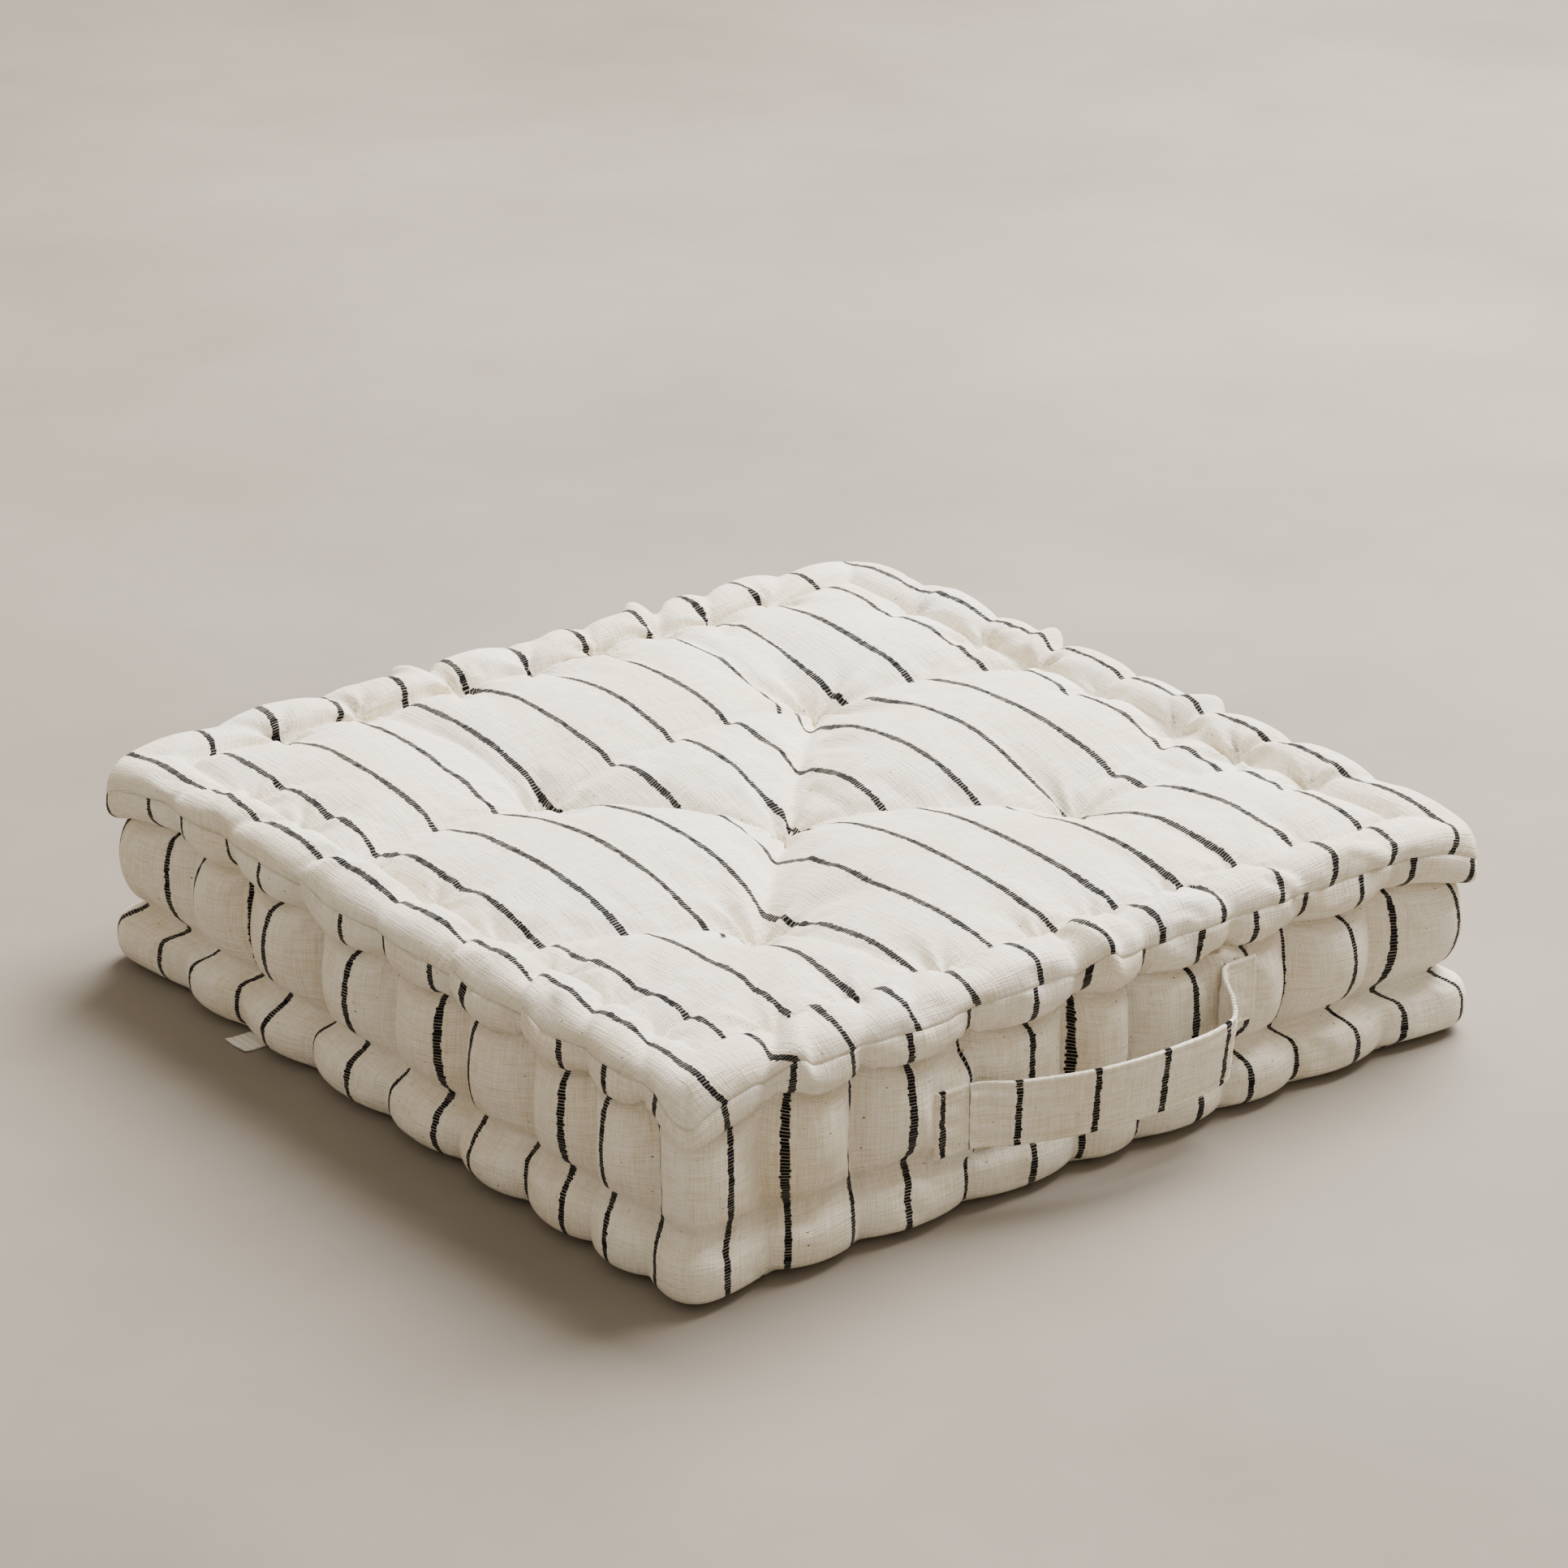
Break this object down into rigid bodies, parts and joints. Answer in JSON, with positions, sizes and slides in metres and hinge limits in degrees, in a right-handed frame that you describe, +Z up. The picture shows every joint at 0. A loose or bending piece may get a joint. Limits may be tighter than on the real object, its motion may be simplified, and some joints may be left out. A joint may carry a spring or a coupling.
{
  "type": "floor cushion",
  "caption": "Square tufted floor cushion with rolled edges, striped cotton cover, layered batting and a side carrying handle.",
  "frame": {"origin": "middle of the bounding box, on the floor under the cushion (the cushion's own middle lies 2.5 mm to the right of it and 9.35 mm behind it, because the label stands out on the left and the handle in front)", "axes": "+Z up, the handle's side faces -Y, the care label is on the -X side"},
  "size_m": [0.505, 0.519, 0.12],
  "materials": {
    "striped_cotton": "natural slub cotton canvas, plain weave, thin broken black stripes",
    "cotton_batting": "felted cotton fibre",
    "waxed_twine": "waxed linen twine",
    "label_tape": "blank white satin tape"
  },
  "bodies": {
    "cushion": {"top_panel": "striped_cotton", "bottom_panel": "striped_cotton", "boxing_front_left": "striped_cotton", "boxing_back_right": "striped_cotton", "top_roll_filling": "cotton_batting", "bottom_roll_filling": "cotton_batting", "batting_bottom_layer": "cotton_batting", "batting_middle_layer": "cotton_batting", "batting_top_layer": "cotton_batting", "tuft_tie_centre": "waxed_twine", "tuft_tie_front_left": "waxed_twine", "tuft_tie_front_right": "waxed_twine", "tuft_tie_back_left": "waxed_twine", "tuft_tie_back_right": "waxed_twine", "handle_end_left": "striped_cotton", "handle_end_right": "striped_cotton", "care_label": "label_tape"},
    "handle": {"handle_strap": "striped_cotton"}
  },
  "joints": [
    {"name": "handle_swing", "type": "hinge", "parent": "cushion", "child": "handle", "pos_m": [-0.081, -0.23695, 0.069], "axis": [-0.9956, 0, -0.0933], "range_deg": [0, 75]}
  ]
}
